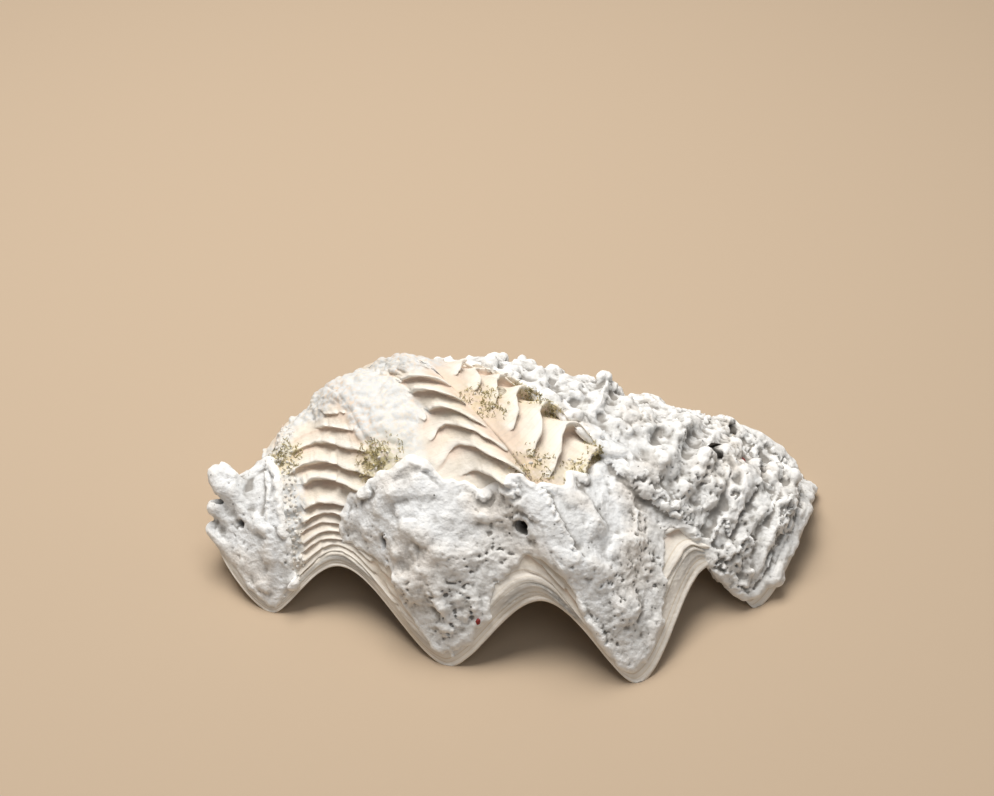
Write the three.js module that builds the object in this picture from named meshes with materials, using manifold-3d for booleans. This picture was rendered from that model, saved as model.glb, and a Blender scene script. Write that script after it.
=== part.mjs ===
// One weathered valve of a giant clam, lying open side down on its wavy margin.
// Millimetres, +Z up. The origin is on the resting plane, under the middle of the valve's box.
//
// The valve follows the growth rule of a real bivalve. Its margin is one closed line, and every older
// growth line is that margin made smaller and swung up about the hinge. Radial ribs end in arches of the
// margin and the furrows between them end in tips, which the valve rests on. Ribs carry rings of scales,
// and a chalky crust of coralline algae grew over the furrows, the lower ribs and the far end.
import * as THREE from 'three';
import { ImprovedNoise } from 'three/addons/math/ImprovedNoise.js';
import { mergeVertices } from 'three/addons/utils/BufferGeometryUtils.js';
import Module from 'manifold-3d';

const { smoothstep, lerp, degToRad } = THREE.MathUtils;

// Growth: where the beak is, which way the hinge runs, and how fast the valve coils
const beak = new THREE.Vector3(-74.5, 32.5, 5);
const hingeYaw = degToRad(14.5);
const coil = { tightness: 0.59, mostTurn: degToRad(165) };

// The margin, walked from the hinge round the near end, the front, the far end and back.
// at: place of the margin. wall: width of the lip. scale: height of the scales on the last ring.
// crust: its thickness. Scale and crust also give the share of growth where they start.
// columns: facets to the next station.
const margin = [
  { name: 'hinge', at: [-76, 38.5, 0], wall: 12, scale: [0, 0.25], crust: [0, 0.9], columns: 3 },
  { name: 'hinge end', at: [-90, 33, 0], wall: 8, scale: [0, 0.25], crust: [1, 0.7], columns: 3 },
  { name: 'near furrow', at: [-94, 19, 0], wall: 4, scale: [0.5, 0.7], crust: [1, 0.5], columns: 5 },
  { name: 'near rib', at: [-101, -10.5, 11.5], wall: 3, scale: [3, 0.7], crust: [3, 0.7], columns: 6 },
  { name: 'first tip', at: [-80.5, -32, 0], wall: 3, scale: [1, 0.5], crust: [2.5, 0.68], columns: 6 },
  { name: 'first arch', at: [-56, -27, 18], wall: 3, scale: [5, 0.25], crust: [0, 0.97], columns: 6 },
  { name: 'second tip', at: [-20, -55, 0], wall: 4, scale: [1, 0.25], crust: [4, 0.62], columns: 6 },
  { name: 'second arch', at: [10.5, -46.5, 23], wall: 3, scale: [5, 0.25], crust: [2.5, 0.68], columns: 6 },
  { name: 'third tip', at: [42, -62, 0], wall: 4, scale: [1, 0.25], crust: [3.5, 0.66], columns: 6 },
  { name: 'third arch', at: [67.5, -27, 17.5], wall: 3, scale: [5, 0.25], crust: [2, 0.6], columns: 5 },
  { name: 'fourth tip', at: [84.5, -30, 0], wall: 3, scale: [1.5, 0.25], crust: [3.5, 0.56], columns: 6 },
  { name: 'fourth arch', at: [104, -2, 13], wall: 3, scale: [5, 0.25], crust: [3.5, 0.56], columns: 6 },
  { name: 'fifth tip', at: [109, 32, 0], wall: 3.5, scale: [1.5, 0.25], crust: [3, 0.5], columns: 6 },
  { name: 'far arch', at: [87, 46, 13], wall: 4, scale: [4, 0.25], crust: [2.5, 0.4], columns: 6 },
  { name: 'far furrow', at: [57.5, 59, 0], wall: 4, scale: [1, 0.25], crust: [2, 0.5], columns: 5 },
  { name: 'byssal gape', at: [16, 61, 8], wall: 5, scale: [0, 0.25], crust: [1, 0.6], columns: 4 },
  { name: 'gape end', at: [-30, 50, 0], wall: 9, scale: [0, 0.25], crust: [0, 0.9], columns: 3 },
];
const archSharpness = 1.5;

// Rings of scales along the growth, the plain beak before them and the smooth new rim after them
const rings = { count: 16, first: 0.27, last: 0.955, overhang: 0.004, edge: 0.004, onset: 0.15 };
const beakGrowth = [0.03, 0.06, 0.1, 0.15, 0.2];
const rimGrowth = [0.985, 1];

// The hollow side: growth of each loop, and how the wall thickens and the ribs fade going in
const hollow = { deepWall: 8, ribsKept: 0.3, fadeFrom: 0.7 };
const hollowGrowth = [1, 0.95, 0.88, 0.8, 0.72, 0.64, 0.57, 0.5, 0.43, 0.36];

// Crust: its lumps, how fast it starts, where it stops short of the new rim, how much of a scale it buries
const crust = { lumpSize: 9, lumpHeight: 2.2, onset: 0.05, thinsFrom: 0.93, endsAt: 0.99, buries: 0.8 };

// Scales of the near rib that the crust has rounded into stubby fingers, from root to end
const fingers = [
  { root: [-84, -6, 16], end: [-104, 2, 34.5], radius: 5.5 },
  { root: [-86, -10, 15], end: [-104, -6, 26.5], radius: 4 },
  { root: [-87, -14, 11], end: [-106, -10, 20], radius: 4 },
];

// Wear of the tips where they rest, and the block that stands for the table
const wornFlat = 0.8;
const table = { side: 400, thickness: 40 };

// Middle of the whole valve's box in the frame of the stations, moved onto the origin at the end
const boxMiddle = { x: 2.1, y: -0.1 };

const noise = new ImprovedNoise();
const plan = new THREE.CatmullRomCurve3(
  margin.map((m) => new THREE.Vector3(m.at[0], m.at[1], 0)), true, 'centripetal');

// A value of the margin at station i plus share t of the way to the next one
function along(i, t, read) {
  const ease = (1 - Math.cos(Math.PI * t)) / 2;
  return lerp(read(margin[i]), read(margin[(i + 1) % margin.length]), ease);
}

// Height of the margin: arches stay round and tips come to a narrower point
function marginHeight(i, t) {
  const here = margin[i].at[2];
  const next = margin[(i + 1) % margin.length].at[2];
  const fromTip = next > here ? t : 1 - t;
  return Math.min(here, next) + Math.abs(next - here) * Math.sin(Math.PI / 2 * fromTip) ** archSharpness;
}

function marginPoint(i, t) {
  const p = plan.getPoint((i + t) / margin.length);
  return new THREE.Vector3(p.x, p.y, marginHeight(i, t) - wornFlat);
}

// How far a growth line has swung up about the hinge since it was the margin
function swing(growth) {
  return coil.mostTurn * Math.tanh(-Math.log(growth) / (coil.tightness * coil.mostTurn));
}

const hingeAxis = new THREE.Vector3(Math.cos(hingeYaw), Math.sin(hingeYaw), 0);

function grown(point, growth) {
  return point.clone().sub(beak).applyAxisAngle(hingeAxis, -swing(growth)).multiplyScalar(growth).add(beak);
}

// Outward direction of the plain valve at a column and a growth
function outward(column, growth) {
  const step = 0.004;
  const across = grown(column.after, growth).sub(grown(column.before, growth));
  const down = grown(column.point, growth + step).sub(grown(column.point, growth - step));
  return down.cross(across).normalize();
}

// One column of facets: everything the margin gives at one place along it
function makeColumn(i, t) {
  const nudge = 0.02;
  const previous = (i + margin.length - 1) % margin.length;
  const before = t >= nudge ? marginPoint(i, t - nudge) : marginPoint(previous, 1 + t - nudge);
  const after = marginPoint(i, t + nudge);
  const column = { point: marginPoint(i, t), before, after };
  column.wall = along(i, t, (m) => m.wall);
  column.scale = along(i, t, (m) => m.scale[0]);
  column.scaleFrom = along(i, t, (m) => m.scale[1]);
  column.crust = along(i, t, (m) => m.crust[0]);
  column.crustFrom = along(i, t, (m) => m.crust[1]);
  column.inward = new THREE.Vector3(before.y - after.y, after.x - before.x, 0).normalize();
  return column;
}

const columns = margin.flatMap((station, i) =>
  Array.from({ length: station.columns }, (_, c) => makeColumn(i, c / station.columns)));

// How much of the crust there is: it starts over a short stretch and thins out towards the new rim
function crustCover(column, growth) {
  const start = smoothstep(growth, column.crustFrom, column.crustFrom + crust.onset);
  return start * (1 - smoothstep(growth, crust.thinsFrom, crust.endsAt));
}

function crustHeight(column, growth, p) {
  const size = crust.lumpSize;
  const rough = noise.noise(p.x / size, p.y / size, p.z / size) * crust.lumpHeight;
  return crustCover(column, growth) * (column.crust * (1 + rough / 2) + rough);
}

// A point of the outside, lifted off the plain valve by a scale and by the crust
function outside(column, growth, scale) {
  const reach = growth * (1 + rings.overhang * scale);
  const p = grown(column.point, reach);
  return p.addScaledVector(outward(column, Math.min(reach, 1)), scale + crustHeight(column, growth, p));
}

// Height of the scale on a ring, partly buried where the crust is
function scaleHeight(column, k) {
  const growth = ringGrowth(k);
  const stands = smoothstep(growth, column.scaleFrom, column.scaleFrom + rings.onset);
  return column.scale * growth * stands * (1 - crust.buries * crustCover(column, growth));
}

// Rows of the outside from the beak to the margin; each ring climbs to its free edge and drops under it
function ringGrowth(k) {
  return lerp(rings.first, rings.last, k / rings.count);
}

const outsideRows = beakGrowth.map((growth) => columns.map((c) => outside(c, growth, 0)));
for (let k = 1; k <= rings.count; k += 1) {
  outsideRows.push(columns.map((c) => outside(c, ringGrowth(k - 1), 0)));
  outsideRows.push(columns.map((c) => outside(c, ringGrowth(k) - rings.edge, scaleHeight(c, k))));
}
for (const growth of [rings.last, ...rimGrowth]) outsideRows.push(columns.map((c) => outside(c, growth, 0)));

// Rows of the hollow side, from the lip in and up under the beak
function inside(column, growth) {
  const depth = smoothstep(1 - growth, 0, 1 - hollow.fadeFrom);
  const wall = lerp(column.wall, Math.max(hollow.deepWall, column.wall), depth);
  const p = column.point.clone().addScaledVector(column.inward, wall / growth);
  p.z *= lerp(1, hollow.ribsKept, depth);
  return grown(p, growth);
}
const insideRows = hollowGrowth.map((growth) => columns.map((c) => inside(c, growth)));

// The closed skin: outside from its pole at the beak, over the lip, and the hollow side to its own pole
function middle(row) {
  return row.reduce((sum, p) => sum.add(p), new THREE.Vector3()).divideScalar(row.length);
}

function closedSkin(rows, firstPole, lastPole) {
  const n = columns.length;
  const points = [firstPole, ...rows.flat(), lastPole];
  const at = (r, c) => 1 + r * n + (c % n);
  const index = [];
  for (let c = 0; c < n; c += 1) {
    index.push(0, at(0, c), at(0, c + 1));
    for (let r = 0; r + 1 < rows.length; r += 1) {
      index.push(at(r, c), at(r + 1, c), at(r + 1, c + 1), at(r, c), at(r + 1, c + 1), at(r, c + 1));
    }
    index.push(at(rows.length - 1, c), points.length - 1, at(rows.length - 1, c + 1));
  }
  return new THREE.BufferGeometry().setFromPoints(points).setIndex(index);
}

const wasm = await Module();
wasm.setup();

function solid(geometry) {
  const bare = new THREE.BufferGeometry().setAttribute('position', geometry.getAttribute('position'));
  bare.setIndex(geometry.index);
  const merged = mergeVertices(bare);
  return new wasm.Manifold(new wasm.Mesh({
    numProp: 3,
    vertProperties: merged.getAttribute('position').array,
    triVerts: new Uint32Array(merged.index.array),
  }));
}

function finger({ root, end, radius }) {
  const from = new THREE.Vector3(...root);
  const to = new THREE.Vector3(...end);
  const axis = to.clone().sub(from);
  const turn = new THREE.Quaternion().setFromUnitVectors(THREE.Object3D.DEFAULT_UP, axis.clone().normalize());
  const lobe = new THREE.IcosahedronGeometry(1, 1).scale(radius, axis.length() / 2, radius);
  lobe.applyQuaternion(turn);
  return lobe.translate(...from.add(to).divideScalar(2).toArray());
}

// Wear: whatever reaches under the resting plane is cut off flat, and loose chips are dropped
function restOnPlane(body) {
  const block = new THREE.BoxGeometry(table.side, table.side, table.thickness);
  block.translate(0, 0, -table.thickness / 2);
  const pieces = body.subtract(solid(block)).decompose();
  pieces.sort((a, b) => b.volume() - a.volume());
  const mesh = pieces[0].getMesh();
  const cut = new THREE.BufferGeometry();
  cut.setAttribute('position', new THREE.BufferAttribute(Float32Array.from(mesh.vertProperties), 3));
  return cut.setIndex([...mesh.triVerts]);
}

const skin = closedSkin([...outsideRows, ...insideRows], middle(outsideRows[0]), middle(insideRows.at(-1)));
const shellMaterial = new THREE.MeshStandardMaterial({ color: '#d9d6cf', roughness: 0.85, metalness: 0 });
const whole = fingers.reduce((body, f) => body.add(solid(finger(f))), solid(skin));
const shell = new THREE.Mesh(restOnPlane(whole), shellMaterial);
shell.name = 'shell';
shell.geometry.translate(-boxMiddle.x, -boxMiddle.y, 0);
shell.geometry.computeVertexNormals();

const valve = new THREE.Group();
valve.add(shell);

export default valve;
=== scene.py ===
import math
import bpy
import numpy as np
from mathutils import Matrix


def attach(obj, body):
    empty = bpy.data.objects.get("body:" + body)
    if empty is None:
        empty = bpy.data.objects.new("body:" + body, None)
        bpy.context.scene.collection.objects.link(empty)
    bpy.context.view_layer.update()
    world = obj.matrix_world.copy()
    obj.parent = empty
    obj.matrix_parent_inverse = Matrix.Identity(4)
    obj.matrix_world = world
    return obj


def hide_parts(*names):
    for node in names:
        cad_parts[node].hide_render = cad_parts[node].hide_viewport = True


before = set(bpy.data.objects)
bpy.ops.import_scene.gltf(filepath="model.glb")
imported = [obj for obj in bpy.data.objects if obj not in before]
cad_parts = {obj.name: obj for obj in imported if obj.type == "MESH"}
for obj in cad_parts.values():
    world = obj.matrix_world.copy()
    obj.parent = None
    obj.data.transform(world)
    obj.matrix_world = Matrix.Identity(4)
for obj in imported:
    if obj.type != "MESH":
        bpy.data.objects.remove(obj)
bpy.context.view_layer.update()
mm = 0.001


# small helpers

def toLinear(hexColour):
    parts = [int(hexColour[i:i + 2], 16) / 255 for i in (1, 3, 5)]
    return [c / 12.92 if c <= 0.04045 else ((c + 0.055) / 1.055) ** 2.4 for c in parts] + [1.0]


def addNode(tree, kind, links=None, **settings):
    # links: socket name or number -> another node, one of its outputs, or a plain value
    node = tree.nodes.new(kind)
    for name, value in settings.items():
        setattr(node, name, value)
    for socket, source in (links or {}).items():
        if isinstance(source, bpy.types.Node):
            source = source.outputs[0]
        if isinstance(source, bpy.types.NodeSocket):
            tree.links.new(source, node.inputs[socket])
        else:
            node.inputs[socket].default_value = source
    return node


def newTree(name, values):
    # one named input for each value, of the kind that the value is
    kinds = {int: "Int", float: "Float", tuple: "Vector", bpy.types.Material: "Material"}
    tree = bpy.data.node_groups.new(name, "GeometryNodeTree")
    tree.interface.new_socket("Geometry", in_out="INPUT", socket_type="NodeSocketGeometry")
    for label, value in values.items():
        tree.interface.new_socket(label, in_out="INPUT", socket_type="NodeSocket" + kinds[type(value)])
    tree.interface.new_socket("Geometry", in_out="OUTPUT", socket_type="NodeSocketGeometry")
    return tree, tree.nodes.new("NodeGroupInput").outputs


def keepAbove(tree, body, least):
    # nothing goes below the table
    at = addNode(tree, "ShaderNodeSeparateXYZ", {0: addNode(tree, "GeometryNodeInputPosition")})
    high = addNode(tree, "ShaderNodeMath", {0: at.outputs[2], 1: least}, operation="MAXIMUM")
    flat = addNode(tree, "ShaderNodeCombineXYZ", {0: at.outputs[0], 1: at.outputs[1], 2: high})
    return addNode(tree, "GeometryNodeSetPosition", {"Geometry": body, "Position": flat})


def knockAbout(tree, body, size, reach):
    # knocks a smooth form out of round
    dents = addNode(tree, "ShaderNodeTexNoise", {
        "Vector": addNode(tree, "GeometryNodeInputPosition"), "Scale": 1 / size, "Detail": 2.0})
    knock = addNode(tree, "ShaderNodeVectorMath", {
        0: dents.outputs["Color"], 1: (0.5, 0.5, 0.5)}, operation="SUBTRACT")
    knock = addNode(tree, "ShaderNodeVectorMath", {0: knock, "Scale": reach}, operation="SCALE")
    return addNode(tree, "GeometryNodeSetPosition", {"Geometry": body, "Offset": knock})


def endTree(tree, body, material):
    # smooth faces, one real mesh, its material
    body = addNode(tree, "GeometryNodeSetShadeSmooth", {"Geometry": body})
    body = addNode(tree, "GeometryNodeRealizeInstances", {"Geometry": body})
    body = addNode(tree, "GeometryNodeSetMaterial", {"Geometry": body, "Material": material})
    addNode(tree, "NodeGroupOutput", {"Geometry": body})


def bake(obj):
    # what the modifiers make becomes the object's own mesh
    depsgraph = bpy.context.evaluated_depsgraph_get()
    result = bpy.data.meshes.new_from_object(
        obj.evaluated_get(depsgraph), preserve_all_data_layers=True, depsgraph=depsgraph)
    obj.modifiers.clear()
    obj.data = result
    result.name = obj.name


def runTree(obj, tree, values):
    # inputs go in by identifier before the first evaluation, and a plain mesh comes out
    modifier = obj.modifiers.new(tree.name, "NODES")
    modifier.node_group = tree
    for item in tree.interface.items_tree:
        if item.in_out == "INPUT" and item.name in values:
            modifier[item.identifier] = values[item.name]
    bake(obj)
    return obj


def pointsOf(mesh):
    # places of the points, and the directions they face
    place, facing = np.zeros(len(mesh.vertices) * 3), np.zeros(len(mesh.vertices) * 3)
    mesh.vertices.foreach_get("co", place)
    mesh.vertex_normals.foreach_get("vector", facing)
    return place.reshape(-1, 3), facing.reshape(-1, 3)


def fieldOf(mesh, name):
    values = np.zeros(len(mesh.vertices))
    mesh.attributes[name].data.foreach_get("value", values)
    return values


def newObject(name, points, faces, fields):
    mesh = bpy.data.meshes.new(name)
    mesh.from_pydata(points, [], faces)
    for label, values in fields.items():
        values = np.asarray(values, np.float32)
        kind, slot = ("FLOAT_VECTOR", "vector") if values.ndim == 2 else ("FLOAT", "value")
        mesh.attributes.new(label, kind, "POINT").data.foreach_set(slot, values.ravel())
    obj = bpy.data.objects.new(name, mesh)
    bpy.context.scene.collection.objects.link(obj)
    return obj


def smooth(x, low, high):
    t = np.clip((np.asarray(x, float) - low) / (high - low), 0, 1)
    return t * t * (3 - 2 * t)


def ripple(x, size, seed):
    # smooth random line through the values at every size
    table = np.random.default_rng(seed).uniform(-1, 1, 512)
    x = np.asarray(x, float) / size
    i = np.floor(x).astype(int)
    t = x - i
    t = t * t * (3 - 2 * t)
    return table[i % 512] * (1 - t) + table[(i + 1) % 512] * t


# the valve: one margin line, every older growth line is that line made smaller and swung up about the hinge

evenScales = [0.26, 0.305, 0.35, 0.395, 0.44, 0.485, 0.53, 0.575, 0.62, 0.665, 0.71, 0.755, 0.80, 0.84, 0.88,
              0.915, 0.95]
valveLook = {
    # millimetres and degrees
    "beak": (-76.6, 32.6, 5), "hingeYaw": 14.5, "tightness": 0.59, "mostTurn": 165, "wornFlat": 0.8,
    # power of the arch's sine: the margin has narrow tips, older lines have rounder ribs and filled furrows
    "marginArch": 1.5, "olderArch": 0.85, "furrowFill": 0.38, "furrowBlunt": 0.14,
    # x, y, z of the margin, lip width, growth where scales start, columns to the next
    "margin": [
        (-78.1, 38.6, 0.85, 12, 0.25, 7),  # hinge
        (-92.1, 33.1, 0.85, 8, 0.25, 7),  # hinge end
        (-95.1, 19.1, 0.85, 4, 0.7, 20),  # near furrow
        (-102.1, -10.4, 11.5, 2.6, 0.7, 24),  # near rib
        (-82.6, -31.9, 0, 2.4, 0.5, 30),  # first tip
        (-58.1, -26.9, 18, 2.0, 0.54, 38),  # first arch
        (-22.1, -54.9, 0, 2.6, 0.2, 34),  # second tip
        (8.4, -46.4, 23, 2.0, 0.42, 36),  # second arch
        (39.9, -61.9, 0, 2.6, 0.40, 38),  # third tip
        (64.4, -26.9, 18, 2.0, 0.36, 22),  # third arch
        (82.0, -29.9, 0, 2.4, 0.25, 30),  # fourth tip
        (101.0, -1.9, 13, 2.2, 0.25, 28),  # fourth arch
        (106.4, 32.1, 0, 3, 0.25, 19),  # fifth tip
        (84.9, 46.1, 12, 3.5, 0.25, 21),  # far arch
        (55.4, 59.1, 0, 4, 0.25, 18),  # far furrow
        (13.9, 61.1, 8, 5, 0.25, 14),  # byssal gape
        (-32.1, 50.1, 0.85, 9, 0.25, 14),  # gape end
    ],
    # growth of the free edge of each scale, on the ribs that end at these stations
    "scales": {
        0: evenScales,
        5: [0.26, 0.31, 0.36, 0.41, 0.46, 0.515, 0.575, 0.635, 0.705, 0.76, 0.825, 0.855, 0.88, 0.90, 0.92,
            0.94, 0.957],
        7: [0.25, 0.30, 0.345, 0.39, 0.435, 0.48, 0.525, 0.565, 0.615, 0.655, 0.70, 0.755, 0.795, 0.84, 0.88,
            0.915, 0.95],
        9: [0.25, 0.30, 0.345, 0.39, 0.435, 0.48, 0.52, 0.56, 0.605, 0.65, 0.70, 0.76, 0.81, 0.845, 0.885,
            0.92, 0.952],
        11: evenScales,
    },
    # height of the scales along the margin: they stand on the crests and on the far flanks of the ribs
    "scaleHeight": [
        (0, 0), (2, 0.3), (3, 0.8), (3.9, 0.4), (4.2, 1.8), (4.6, 3.9), (5.1, 4.8), (5.5, 3.6), (5.85, 1.2),
        (6, 0.3), (6.6, 0.3), (6.9, 1.2), (7.2, 3.2), (7.5, 5.3), (7.7, 4.4), (7.88, 1.8), (8, 0.3),
        (8.2, 0.5), (8.4, 2.6), (8.6, 4.6), (8.85, 6.6), (9.1, 7.4), (9.35, 6.0), (9.6, 4.0), (9.9, 1.5),
        (10.1, 1.5), (10.5, 4.0), (11, 6), (11.6, 4), (12, 1), (13, 5), (14, 0.6), (15, 0), (17, 0)],
    # how far the ends of the scales hang towards the margin
    "scaleSag": [
        (0, 0.02), (4, 0.03), (4.5, 0.01), (5.05, 0), (5.4, 0.008), (5.9, 0.035), (6.7, 0.03), (6.95, 0.02),
        (7.2, 0.008), (7.45, 0), (7.6, 0.004), (7.95, 0.03), (8.2, 0.048), (8.5, 0.03), (8.65, 0.008),
        (8.8, 0), (9.0, 0.010), (9.2, 0.032), (9.5, 0.055), (10, 0.04), (11, 0), (12, 0.02), (17, 0.02)],
    "lean": 0.10, "backCurve": 1.7,
    "chipDepth": 0.4, "wearDepth": 0.45, "lowNearRim": 0.74, "lowUnderChalk": 0.85,
    # plain rows at the beak, then where rows fall on the back of a scale, fewer on the four oldest
    "firstRows": (0.03, 0.07, 0.11, 0.15, 0.19), "scalesFrom": 0.21, "oldest": 4,
    "scaleBack": [0.1, 0.24, 0.4, 0.58, 0.76, 0.90, 1.0], "scaleBackFew": [0.3, 0.65, 1.0],
    # front of a scale, from the lip down: step to the next scale, share of the height, share of painted
    # highlight on the lip, share of painted shade in the hollow
    "scaleFront": [(0.030, 0.97, 1.0, 0.0), (0.055, 0.86, 0.9, 0.1), (0.062, 0.66, 0.4, 0.5),
                   (0.040, 0.42, 0.0, 0.9), (0.035, 0.20, 0.0, 1.0), (0.075, 0.05, 0.0, 1.0)],
    # the clean new rim, row and lift: three thin layers that stop short of each other, then the smooth lip
    "rim": [(0.10, 0.1), (0.26, 0.45), (0.30, 0.05), (0.48, 0.4), (0.52, 0.05), (0.70, 0.35), (0.74, 0.05),
            (0.86, 0.12), (0.94, 0.08), (1.0, 0.0)],
    "lumpSize": 5 * mm, "lumpHeight": 0.8 * mm,
    # bored holes: x, y, z, radius, and a direction with how much longer the hole is that way
    "holes": [(2.8, -31.5, 40.9, 2.0, (1, -0.4, -0.3), 1.5), (-41.4, -27.4, 32.6, 0.9, (0, -0.6, -0.8), 3.2),
              (40.6, 25.3, 39.5, 1.5, (0, 0.7, 0.7), 1.5), (78.9, 41.8, 13.6, 1.5, (0, 0.7, 0.7), 1.8),
              (67.5, 7.5, 32.1, 2.2, (1, 0, -0.5), 1.6), (86.3, 8.3, 22, 1.3, (1, 0, 0), 1.2),
              (-90.3, -10.2, 20.6, 1.2, (1, 0, -0.5), 1.3), (-99.5, -3.5, 25.5, 1.8, (1, -0.6, 0), 2.2)],
    "holeDepth": 2.2, "chalkLift": 0.8, "crackDepth": 0.9,
    # raised or sunk places: x, y, z, radius, height
    "swells": [(-88, 22, 26, 11, -5.5), (-90, 14, 27, 8, -3), (-30, 28, 58, 16, 2.0), (-12, 22, 58, 14, 1.5),
               (45, 30, 36, 18, -2.5), (75, 38, 22, 16, -2.5), (95, 30, 14, 14, -2)],
}

station = np.array([m[:5] for m in valveLook["margin"]], float)
stationCount = len(station)
columnAt = np.concatenate([i + np.arange(m[5]) / m[5] for i, m in enumerate(valveLook["margin"])])
columnCount = len(columnAt)


def marginValue(field, s):
    # a value of the margin, eased from station to station
    i = np.floor(s).astype(int)
    ease = (1 - np.cos(np.pi * (s - i))) / 2
    return station[i % stationCount, field] * (1 - ease) + station[(i + 1) % stationCount, field] * ease


def marginPoint(s, archPower, fill, blunt):
    # closed centripetal curve through the stations, seen from above, with arches and tips for its height
    s = s % stationCount
    i = np.floor(s).astype(int)
    t = (s - i)[:, None]
    p0, p1, p2, p3 = (station[(i + k) % stationCount, :2] for k in (-1, 0, 1, 2))
    d0, d1, d2 = (np.linalg.norm(b - a, axis=1, keepdims=True) ** 0.5
                  for a, b in ((p0, p1), (p1, p2), (p2, p3)))
    t1 = ((p1 - p0) / d0 - (p2 - p0) / (d0 + d1) + (p2 - p1) / d1) * d1
    t2 = ((p2 - p1) / d1 - (p3 - p1) / (d1 + d2) + (p3 - p2) / d2) * d1
    flat = p1 + t1 * t + (3 * (p2 - p1) - 2 * t1 - t2) * t ** 2 + (2 * (p1 - p2) + t1 + t2) * t ** 3
    here, there = station[i % stationCount, 2], station[(i + 1) % stationCount, 2]
    fromTip = np.where(there > here, s - i, 1 - s + i)
    fromTip = np.sqrt((fromTip ** 2 + blunt ** 2) / (1 + blunt ** 2))
    rise = np.abs(there - here) * (fill + (1 - fill) * np.sin(np.pi / 2 * fromTip) ** archPower)
    return np.column_stack([flat, np.minimum(here, there) + rise - valveLook["wornFlat"]])


def marginFor(growth, s):
    # the margin as it was at that growth
    new = smooth(growth, 0.76, 0.96)
    archPower = valveLook["olderArch"] + (valveLook["marginArch"] - valveLook["olderArch"]) * new
    fill, blunt = valveLook["furrowFill"] * (1 - new), valveLook["furrowBlunt"] * (1 - new)
    return marginPoint(s, archPower, fill, blunt)


beak = np.array(valveLook["beak"], float)
hingeYaw = math.radians(valveLook["hingeYaw"])
hingeAxis = np.array([math.cos(hingeYaw), math.sin(hingeYaw), 0])
mostTurn = math.radians(valveLook["mostTurn"])


def swept(points, growth):
    # the growth rule for many points: place, and millimetres travelled per unit of growth
    turn = np.tanh(-np.log(growth) / (valveLook["tightness"] * mostTurn))
    angle = -mostTurn * turn
    v = points - beak
    along = (v @ hingeAxis)[..., None] * hingeAxis
    side = np.cross(np.broadcast_to(hingeAxis, v.shape), v)
    v = along + (v - along) * np.cos(angle)[..., None] + side * np.sin(angle)[..., None]
    bend = (1 - turn ** 2) / valveLook["tightness"]
    down = v + np.cross(np.broadcast_to(hingeAxis, v.shape), v) * bend[..., None]
    return beak + v * growth[..., None], np.linalg.norm(down, axis=-1)


marginLine = marginFor(1.0, columnAt)
nudge = 0.02
inward = marginFor(1.0, columnAt + nudge) - marginFor(1.0, columnAt - nudge)
inward = np.column_stack([-inward[:, 1], inward[:, 0], np.zeros(columnCount)])
inward /= np.linalg.norm(inward, axis=1, keepdims=True)

# growth of every scale's free edge at every column, shifted a little so that no two ribs match
ringStations = [0, 5, 7, 9, 11, stationCount]
ringTable = np.array([valveLook["scales"][i % stationCount] for i in ringStations])
ringGrowth = np.array([np.interp(columnAt, ringStations, ringTable[:, k]) for k in range(ringTable.shape[1])])
ringCount = len(ringGrowth)
sag = np.interp(columnAt, *zip(*valveLook["scaleSag"]))
for k in range(ringCount):
    ringGrowth[k] += sag * (1 - smooth(ringGrowth[k], 0.6, 0.92))
    ringGrowth[k] += 0.0035 * ripple(columnAt, 0.31, 40 + k) + 0.0015 * ripple(columnAt, 0.11, 70 + k)

# edges of the crust, as station and growth
crustEdge = {
    "upper": [
        (0, 1.0), (2.3, 0.95), (2.7, 0.80), (3.0, 0.72), (3.6, 0.62), (3.95, 0.58), (4.12, 0.62),
        (4.25, 0.72), (4.36, 0.9), (4.5, 1.0), (5.0, 1.0), (5.12, 0.865), (5.38, 0.78), (5.96, 0.69),
        (6.17, 0.70), (6.38, 0.705), (6.62, 0.755), (7.0, 0.795), (7.4, 0.775), (7.79, 0.73), (8.08, 0.745),
        (8.29, 0.75), (8.58, 0.77), (8.92, 0.78), (9.2, 0.75), (9.4, 0.70), (9.6, 0.60), (9.85, 0.46),
        (10.2, 0.36), (11, 0.34), (13, 0.36), (14, 0.5), (14.8, 0.8), (15.3, 1.0), (17, 1.0)],
    "lower": [
        (0, 0.9), (2.3, 0.94), (3.0, 0.94), (3.5, 0.955), (3.9, 0.98), (4.2, 0.985), (4.6, 0.95),
        (5.04, 0.94), (5.46, 0.895), (5.67, 0.885), (5.79, 0.95), (5.88, 0.975), (6.08, 0.985), (6.29, 0.985),
        (6.42, 0.975), (6.71, 0.95), (7.0, 0.93), (7.38, 0.89), (7.62, 0.88), (7.7, 0.91), (7.74, 0.96),
        (7.83, 0.98), (8.12, 0.985), (8.38, 0.975), (8.67, 0.95), (9.0, 0.92), (9.5, 0.945), (10, 0.975),
        (10.2, 0.985), (10.6, 0.997), (11, 0.998), (12, 1.0), (13, 1.0), (14, 0.985), (15, 0.96), (17, 0.9)],
}


def crustCover(s, g, upperSoft=0.012, lowerSoft=0.012):
    upper = np.interp(s, *zip(*crustEdge["upper"])) + 0.010 * ripple(s, 0.17, 5) + 0.007 * ripple(s, 0.06, 6)
    lower = np.interp(s, *zip(*crustEdge["lower"])) + 0.006 * ripple(s, 0.09, 7)
    return smooth(g, upper - 0.004, upper + upperSoft) * (1 - smooth(g, lower - lowerSoft, lower + 0.002))


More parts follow.
